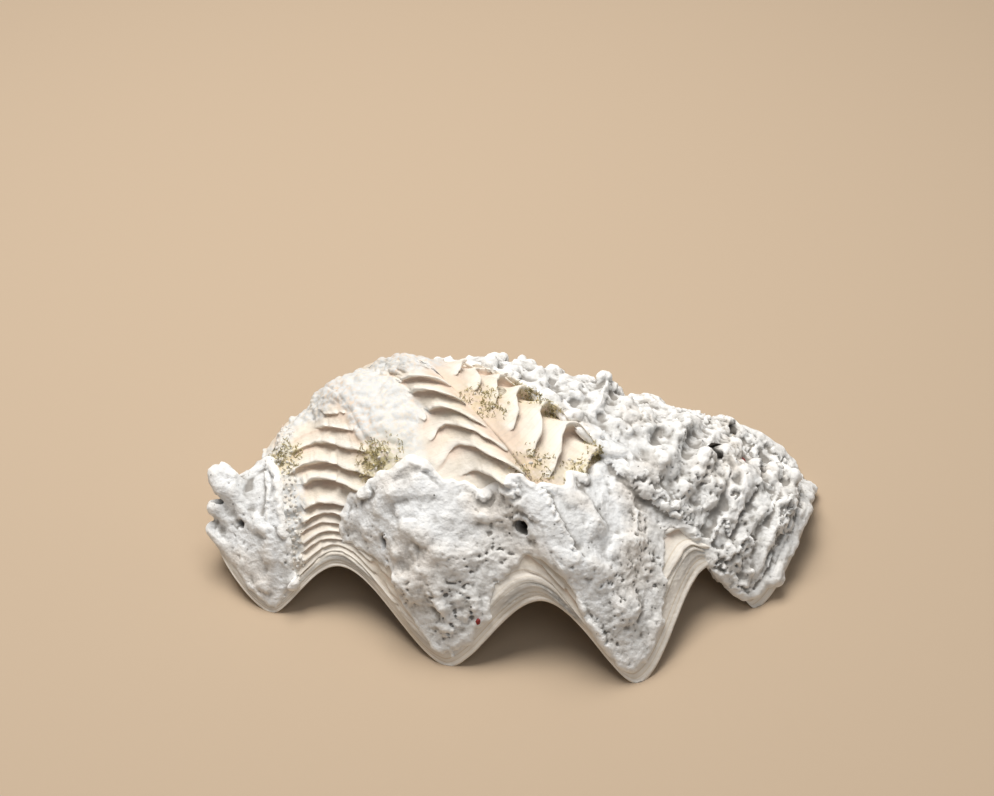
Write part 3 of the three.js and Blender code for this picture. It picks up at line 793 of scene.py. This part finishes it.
body = addNode(t, "GeometryNodeVolumeToMesh", {
    "Volume": volume, "Voxel Size": inputs["Voxel"], "Threshold": 0.1}, resolution_mode="VOXEL_SIZE")
even = addNode(t, "GeometryNodeBlurAttribute", {"Value": here, "Iterations": 5}, data_type="FLOAT_VECTOR")
body = addNode(t, "GeometryNodeSetPosition", {"Geometry": body, "Position": even})
for name in ("knob", "coarse", "edge", "layered", "growth"):
    near = addNode(t, "GeometryNodeSampleNearestSurface", {
        "Mesh": inputs["Geometry"], "Value": field[name]}, data_type="FLOAT")
    body = addNode(t, "GeometryNodeStoreNamedAttribute", {"Geometry": body, "Name": name, "Value": near},
                   data_type="FLOAT", domain="POINT")

# bulges of two sizes
bulges = addNode(t, "ShaderNodeMath", {0: noise["bulge"], 1: noise["wide"]}, operation="ADD")

# rounded cells with gaps between them, for the knobs
warp = addNode(t, "ShaderNodeTexNoise", {"Vector": here, "Scale": 1 / crustLook["warpSize"]}).outputs["Color"]
warp = addNode(t, "ShaderNodeVectorMath", {0: warp, "Scale": crustLook["warpReach"]}, operation="SCALE")
warp = addNode(t, "ShaderNodeVectorMath", {0: here, 1: warp}, operation="ADD")
scale = addNode(t, "ShaderNodeMath", {0: 1.0, 1: inputs["Cell size"]}, operation="DIVIDE")
cells = addNode(t, "ShaderNodeTexVoronoi", {
    "Vector": warp, "Scale": scale, "Smoothness": 0.4}, feature="SMOOTH_F1")

# growth layers show as steps near the margin of the far end
steps = addNode(t, "ShaderNodeMath", {0: field["growth"], 1: inputs["Layer count"]}, operation="MULTIPLY")
sway = addNode(t, "ShaderNodeMath", {0: noise["step"], 1: 2.2}, operation="MULTIPLY")
for operation, other in (("ADD", sway), ("FRACT", 0.0), ("POWER", 2.0)):
    steps = addNode(t, "ShaderNodeMath", {0: steps, 1: other}, operation=operation)

# each relief is a difference times its factors: a height, or a field with its factor at none and at full
push = 0.0
for high, low, factors in (
        (noise["ridge"], 0.9, (inputs["Ridge height"], ("knob", 1.0, 0.35))),
        (bulges, 1.0, (
            ("coarse", 0.6, 1.0), ("layered", 1.0, 0.5), ("knob", 1.0, 0.6), inputs["Swell height"])),
        (0.5, cells, (inputs["Cell height"], ("knob", 0.15, 1.0))),
        (steps, 0.33, (inputs["Layer height"], ("layered", 0.0, 1.0)))):
    relief = addNode(t, "ShaderNodeMath", {0: high, 1: low}, operation="SUBTRACT")
    for factor in factors:
        if isinstance(factor, tuple):
            name, atNone, atFull = factor
            factor = addNode(t, "ShaderNodeMapRange", {0: field[name], 3: atNone, 4: atFull})
        relief = addNode(t, "ShaderNodeMath", {0: relief, 1: factor}, operation="MULTIPLY")
    push = addNode(t, "ShaderNodeMath", {0: push, 1: relief}, operation="ADD")

# these dips stop short of the valve
nearAt, nearFacing = (addNode(t, "GeometryNodeSampleNearestSurface", {
    "Mesh": inputs["Geometry"], "Value": value}, data_type="FLOAT_VECTOR") for value in (here, facing))
fromValve = addNode(t, "ShaderNodeVectorMath", {0: here, 1: nearAt}, operation="SUBTRACT")
above = addNode(t, "ShaderNodeVectorMath", {0: fromValve, 1: nearFacing}, operation="DOT_PRODUCT")
deepest = addNode(t, "ShaderNodeMapRange", {
    0: above.outputs["Value"], 1: crustLook["skinLeft"], 2: crustLook["skinLeft"] + crustLook["deepestDip"],
    3: 0.0, 4: -crustLook["deepestDip"]})
push = addNode(t, "ShaderNodeMath", {0: push, 1: deepest, 2: crustLook["dipBlend"]}, operation="SMOOTH_MAX")

# grains, and pits in patches
grains = addNode(t, "ShaderNodeMath", {0: noise["fine"], 1: 0.5}, operation="SUBTRACT")
grains = addNode(t, "ShaderNodeMath", {0: grains, 1: inputs["Grain height"]}, operation="MULTIPLY")
pits = addNode(t, "ShaderNodeMapRange", {0: noise["fine"], 1: 0.40, 2: 0.30})
pitted = addNode(t, "ShaderNodeMapRange", {0: noise["swell"], 1: 0.42, 2: 0.56})
for factor in (pitted, inputs["Pit depth"]):
    pits = addNode(t, "ShaderNodeMath", {0: pits, 1: factor}, operation="MULTIPLY")
grains = addNode(t, "ShaderNodeMath", {0: grains, 1: pits}, operation="SUBTRACT")
for name, atNone, atFull in (("coarse", 0.25, 1.0), ("knob", 1.0, 0.7)):
    weak = addNode(t, "ShaderNodeMapRange", {0: field[name], 3: atNone, 4: atFull})
    grains = addNode(t, "ShaderNodeMath", {0: grains, 1: weak}, operation="MULTIPLY")
push = addNode(t, "ShaderNodeMath", {0: push, 1: grains}, operation="ADD")
weak = addNode(t, "ShaderNodeMapRange", {0: field["edge"], 3: 0.12, 4: 1.0})
push = addNode(t, "ShaderNodeMath", {0: push, 1: weak}, operation="MULTIPLY")
push = addNode(t, "ShaderNodeVectorMath", {0: facing, "Scale": push}, operation="SCALE")
body = addNode(t, "GeometryNodeSetPosition", {"Geometry": body, "Offset": push})

# how hollow each place is, which drives the crust's painted shade and highlight, and how high above the
# valve, in millimetres
even = addNode(t, "GeometryNodeBlurAttribute", {"Value": here, "Iterations": 10}, data_type="FLOAT_VECTOR")
inset = addNode(t, "ShaderNodeVectorMath", {0: even, 1: here}, operation="SUBTRACT")
for name, a, b in (("cavity", inset, facing), ("buried", fromValve, nearFacing)):
    depth = addNode(t, "ShaderNodeVectorMath", {0: a, 1: b}, operation="DOT_PRODUCT").outputs["Value"]
    depth = addNode(t, "ShaderNodeMath", {0: depth, 1: 1 * mm}, operation="DIVIDE")
    body = addNode(t, "GeometryNodeStoreNamedAttribute", {"Geometry": body, "Name": name, "Value": depth},
                   data_type="FLOAT", domain="POINT")
body = keepAbove(t, body, crustLook["offTable"])
endTree(t, body, inputs["Material"])
crust = runTree(carrier, t, crustInputs)
print("crust: %d faces grown" % len(crust.data.polygons))

# the bored holes are pressed in
place, facingOut = pointsOf(crust.data)
sunk = fieldOf(crust.data, "buried")
hole, holeDeep = bored(place / mm, sunk > 0.3)
place -= holeDeep[:, None] * mm * facingOut
crust.data.vertices.foreach_set("co", place.ravel())
print("crust: %d points in %d holes" % ((hole > 0.5).sum(), len(valveLook["holes"])))
crust.data.attributes.new("hole", "FLOAT", "POINT").data.foreach_set("value", hole.astype(np.float32))

# what is sunk in the valve needs few faces, so the thinning starts there
group = crust.vertex_groups.new(name="sunk")
group.add(np.flatnonzero(sunk < crustLook["sunkBelow"]).tolist(), 1.0, "REPLACE")
thin = crust.modifiers.new("thin", "DECIMATE")
thin.ratio = min(1.0, crustLook["keptFaces"] / (2 * len(crust.data.polygons)))
thin.vertex_group = "sunk"
thin.vertex_group_factor = 10
bake(crust)
crust.vertex_groups.clear()
print("crust: %d faces kept" % len(crust.data.polygons))

# what clings to the shell: tufts of dried algae, chalk crumbs, a worm's tube and flakes of red alga

clingLook = {
    "seed": 11, "turn": 6.28, "tuftLean": 0.7, "tuftPatch": 3.5 * mm, "barelyThere": 0.15,
    # start, middle and end of one thread
    "thread": [(0, 0, -0.2 * mm), (0.2 * mm, 0.1 * mm, 0.5 * mm), (0.5 * mm, -0.1 * mm, 0.6 * mm)],
    "crumbRough": 0.7 * mm, "crumbShape": (1.2, 0.9, 0.7), "crumbDents": 0.9 * mm,
    "flakes": [(-11.9, -48.8, 15.7), (76.9, 11.4, 26.8), (61.7, -21.2, 20)], "flakeAbove": 0.8,
    "worm": (-4.8, 16.5, 54), "wormThick": 0.65 * mm, "wormRise": -0.6 * mm, "wormDents": 1.5 * mm,
}

algae = fieldsAll["algae"] * (1 - fieldsAll["crust"])
edgeBand = smooth(stationOf, 4.0, 4.12) * (1 - smooth(stationOf, 4.45, 4.65))
edgeBand = edgeBand * smooth(growthOf, 0.45, 0.5) * (1 - smooth(growthOf, 0.93, 0.95))
crumbs = np.clip(edgeBand + 0.5 * fieldsAll["algae"], 0, 1) * (1 - fieldsAll["inner"])

# dried algae: matted threads, olive to straw; chalk crumb: dry broken shell, white and grey;
# red alga: a dry crimson skin, unevenly dark; worm tube: dull grey-brown lime
clingStuff = {}
for name, first, second, cloudSize, detail, low, high, roughness in (
        ("dried_algae", "#8d8257", "#d8cb9d", 3 * mm, 4.0, 0.38, 0.62, 0.85),
        ("chalk_crumb", "#f2f0ec", "#c9c4bb", 2 * mm, 4.0, 0.35, 0.65, 0.9),
        ("red_alga_flake", "#a8322e", "#5b1a1c", 0.8 * mm, 3.0, 0, 1, 0.7),
        ("lime_worm_tube", "#cfc6b4", "#948a76", 1.2 * mm, 4.0, 0.35, 0.65, 0.8)):
    clingStuff[name], tree, shader = newMaterial(name)
    coords = addNode(tree, "ShaderNodeTexCoord").outputs["Object"]
    cloud = addNode(tree, "ShaderNodeTexNoise", {"Vector": coords, "Scale": 1 / cloudSize, "Detail": detail})
    colour = layColours(tree, toLinear(first), [(second, (cloud, low, high, 0, 1))])
    tree.links.new(colour, shader.inputs["Base Color"])
    shader.inputs["Roughness"].default_value = roughness

# tufts: bent threads stand on the stained places
tuft = {"Seed": clingLook["seed"], "Apart": 0.2 * mm, "Short": 0.8, "Long": 1.8, "Thick": 0.10 * mm,
        "Material": clingStuff["dried_algae"]}
t, inputs = newTree("tuftGrowth", tuft)
line = addNode(t, "GeometryNodeCurveQuadraticBezier", {
    "Resolution": 4, **dict(zip(("Start", "Middle", "End"), clingLook["thread"]))})
ring = addNode(t, "GeometryNodeCurvePrimitiveCircle", {
    "Resolution": 3, "Radius": inputs["Thick"]}, mode="RADIUS")
thread = addNode(t, "GeometryNodeCurveToMesh", {"Curve": line, "Profile Curve": ring, "Fill Caps": True})
stained = addNode(t, "GeometryNodeInputNamedAttribute", {0: "share"}, data_type="FLOAT")
patchy = addNode(t, "ShaderNodeTexNoise", {
    "Vector": addNode(t, "GeometryNodeInputPosition"), "Scale": 1 / clingLook["tuftPatch"], "Detail": 3.0})
patchy = addNode(t, "ShaderNodeMapRange", {0: patchy, 1: 0.42, 2: 0.55})
share = addNode(t, "ShaderNodeMath", {0: stained, 1: patchy}, operation="MULTIPLY")
spots = addNode(t, "GeometryNodeDistributePointsOnFaces", {
    "Mesh": inputs["Geometry"], "Distance Min": inputs["Apart"], "Density Max": 6.0e6,
    "Density Factor": share, "Seed": inputs["Seed"]}, distribute_method="POISSON")
lean = addNode(t, "FunctionNodeRandomValue", {
    0: (-clingLook["tuftLean"], -clingLook["tuftLean"], 0),
    1: (clingLook["tuftLean"], clingLook["tuftLean"], clingLook["turn"]),
    "Seed": inputs["Seed"]}, data_type="FLOAT_VECTOR")
turned = addNode(t, "FunctionNodeRotateRotation", {
    0: spots.outputs["Rotation"], 1: lean}, rotation_space="LOCAL")
length = addNode(t, "FunctionNodeRandomValue", {
    2: inputs["Short"], 3: inputs["Long"], "Seed": inputs["Seed"]}, data_type="FLOAT")
threads = addNode(t, "GeometryNodeInstanceOnPoints", {
    "Points": spots, "Instance": thread, "Rotation": turned, "Scale": length.outputs[1]})
endTree(t, threads, inputs["Material"])
tuftFaces = [f for f in skin if algae[f].max() > clingLook["barelyThere"]]
tufts = runTree(newObject("algae_tufts", valvePlace.tolist(), tuftFaces, {"share": algae}), t, tuft)
print("algae: %d faces" % len(tufts.data.polygons))

# crumbs and flakes: small lumps, each knocked out of round
crumb = {"Seed": clingLook["seed"], "Apart": 1.5 * mm, "Small": 0.5, "Big": 1.5, "Radius": 0.55 * mm,
         "Rough": clingLook["crumbRough"], "Loose": 0.0, "Material": clingStuff["chalk_crumb"]}
flake = crumb | {"Small": 0.7, "Big": 1.1, "Radius": 1.1 * mm, "Loose": 1.0,
                 "Material": clingStuff["red_alga_flake"]}
t, inputs = newTree("crumbScatter", crumb)
ball = addNode(t, "GeometryNodeMeshIcoSphere", {"Radius": inputs["Radius"], "Subdivisions": 2})
share = addNode(t, "GeometryNodeInputNamedAttribute", {0: "share"}, data_type="FLOAT")
spots = addNode(t, "GeometryNodeDistributePointsOnFaces", {
    "Mesh": inputs["Geometry"], "Distance Min": inputs["Apart"], "Density Max": 2.0e6,
    "Density Factor": share, "Seed": inputs["Seed"]}, distribute_method="POISSON")
single = addNode(t, "GeometryNodeMeshToPoints", {"Mesh": inputs["Geometry"], "Selection": inputs["Loose"]})
points = addNode(t, "GeometryNodeJoinGeometry")
t.links.new(spots.outputs[0], points.inputs[0])
t.links.new(single.outputs[0], points.inputs[0])
size = addNode(t, "FunctionNodeRandomValue", {
    2: inputs["Small"], 3: inputs["Big"], "Seed": inputs["Seed"]}, data_type="FLOAT").outputs[1]
spin = addNode(t, "FunctionNodeRandomValue", {
    0: (0, 0, 0), 1: (clingLook["turn"],) * 3, "Seed": inputs["Seed"]}, data_type="FLOAT_VECTOR")
stretched = addNode(t, "ShaderNodeVectorMath", {0: clingLook["crumbShape"], "Scale": size}, operation="SCALE")
lumps = addNode(t, "GeometryNodeInstanceOnPoints", {
    "Points": points, "Instance": ball, "Rotation": spin, "Scale": stretched})
body = addNode(t, "GeometryNodeRealizeInstances", {"Geometry": lumps})
body = knockAbout(t, body, clingLook["crumbDents"], inputs["Rough"])
endTree(t, body, inputs["Material"])
crumbFaces = [f for f in skin if crumbs[f].max() > clingLook["barelyThere"]]
rubble = runTree(newObject("chalk_crumbs", valvePlace.tolist(), crumbFaces, {"share": crumbs}), t, crumb)
crustPlace = pointsOf(crust.data)[0]
crustPlace = crustPlace[fieldOf(crust.data, "buried") > clingLook["flakeAbove"]]
flakeAt = [crustPlace[np.linalg.norm(crustPlace / mm - spot, axis=1).argmin()]
           for spot in clingLook["flakes"]]
flakes = runTree(newObject("red_flakes", [tuple(p) for p in flakeAt], [], {}), t, flake)
print("crumbs: %d faces, flakes: %d faces" % (len(rubble.data.polygons), len(flakes.data.polygons)))

# the worm's tube: a flat coil near the top of the valve
at = np.linalg.norm(valvePlace / mm - clingLook["worm"], axis=1).argmin()
tube = {"Turns": 2.3, "Inner": 0.7 * mm, "Outer": 2.3 * mm, "Thick": clingLook["wormThick"],
        "Up": tuple(valveOut[at]), "Material": clingStuff["lime_worm_tube"]}
t, inputs = newTree("wormTube", tube)
coil = addNode(t, "GeometryNodeCurveSpiral", {
    "Resolution": 24, "Rotations": inputs["Turns"], "Start Radius": inputs["Inner"],
    "End Radius": inputs["Outer"], "Height": clingLook["wormRise"]})
ring = addNode(t, "GeometryNodeCurvePrimitiveCircle", {
    "Resolution": 10, "Radius": inputs["Thick"]}, mode="RADIUS")
pipe = addNode(t, "GeometryNodeCurveToMesh", {"Curve": coil, "Profile Curve": ring, "Fill Caps": True})
upright = addNode(t, "FunctionNodeAlignRotationToVector", {"Vector": inputs["Up"]}, axis="Z")
points = addNode(t, "GeometryNodeMeshToPoints", {"Mesh": inputs["Geometry"]})
placed = addNode(t, "GeometryNodeInstanceOnPoints", {"Points": points, "Instance": pipe, "Rotation": upright})
body = addNode(t, "GeometryNodeRealizeInstances", {"Geometry": placed})
body = knockAbout(t, body, clingLook["wormDents"], inputs["Thick"])
endTree(t, body, inputs["Material"])
wormAt = tuple(valvePlace[at] + valveOut[at] * 0.5 * clingLook["wormThick"])
worm = runTree(newObject("worm_coil", [wormAt], [], {}), t, tube)
print("worm tube: %d faces" % len(worm.data.polygons))

# every piece moves with the one body
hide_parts("shell")
for piece in (valve, crust, tufts, rubble, flakes, worm):
    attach(piece, "root")

# plain floor, soft light from above and behind, a weaker one in front, camera as the photograph's
stageLook = {
    "floor": "#bfab93", "floorReach": 3, "sky": "#f4f6fa", "skyStrength": 0.15,
    "camera": (-6.1 * mm, -399.5 * mm, 428.2 * mm), "cameraDown": 42, "lens": 60, "sensor": 36,
}
floorMesh = bpy.data.meshes.new("floor")
reach = stageLook["floorReach"]
corners = [(-reach, -reach, 0), (reach, -reach, 0), (reach, reach, 0), (-reach, reach, 0)]
floorMesh.from_pydata(corners, [], [(0, 1, 2, 3)])
floor = bpy.data.objects.new("floor", floorMesh)
bpy.context.scene.collection.objects.link(floor)
floorStuff, tree, shader = newMaterial("pale_floor")
shader.inputs["Base Color"].default_value = toLinear(stageLook["floor"])
shader.inputs["Roughness"].default_value = 0.9
floorMesh.materials.append(floorStuff)


def addLight(name, place, target, size, power, colour):
    light = bpy.data.lights.new(name, "AREA")
    light.shape = "RECTANGLE"
    light.size, light.size_y = size
    light.energy = power
    light.color = toLinear(colour)[:3]
    lamp = bpy.data.objects.new(name, light)
    bpy.context.scene.collection.objects.link(lamp)
    lamp.location = place
    away = np.array(target, float) - place
    tilt = math.acos(-away[2] / np.linalg.norm(away))
    lamp.rotation_euler = (tilt, 0, math.atan2(away[1], away[0]) - math.pi / 2)


addLight("softbox", (-0.15, 0.26, 1.0), (0, 0, 0), (0.7, 0.55), 12.8, "#fffaf4")
addLight("frontFill", (0.3, -0.75, 1.3), (0, 0, 0.02), (1.0, 1.0), 2.8, "#ffffff")
world = bpy.data.worlds.new("studio")
world.use_nodes = True
world.node_tree.nodes["Background"].inputs[0].default_value = toLinear(stageLook["sky"])
world.node_tree.nodes["Background"].inputs[1].default_value = stageLook["skyStrength"]
bpy.context.scene.world = world
bpy.context.scene.view_settings.view_transform = "Standard"

cameraData = bpy.data.cameras.new("camera")
cameraData.lens = stageLook["lens"]
cameraData.sensor_width = stageLook["sensor"]
cameraData.sensor_fit = "HORIZONTAL"
camera = bpy.data.objects.new("camera", cameraData)
camera.location = stageLook["camera"]
camera.rotation_euler = (math.radians(90 - stageLook["cameraDown"]), 0, 0)
bpy.context.scene.collection.objects.link(camera)
bpy.context.scene.camera = camera
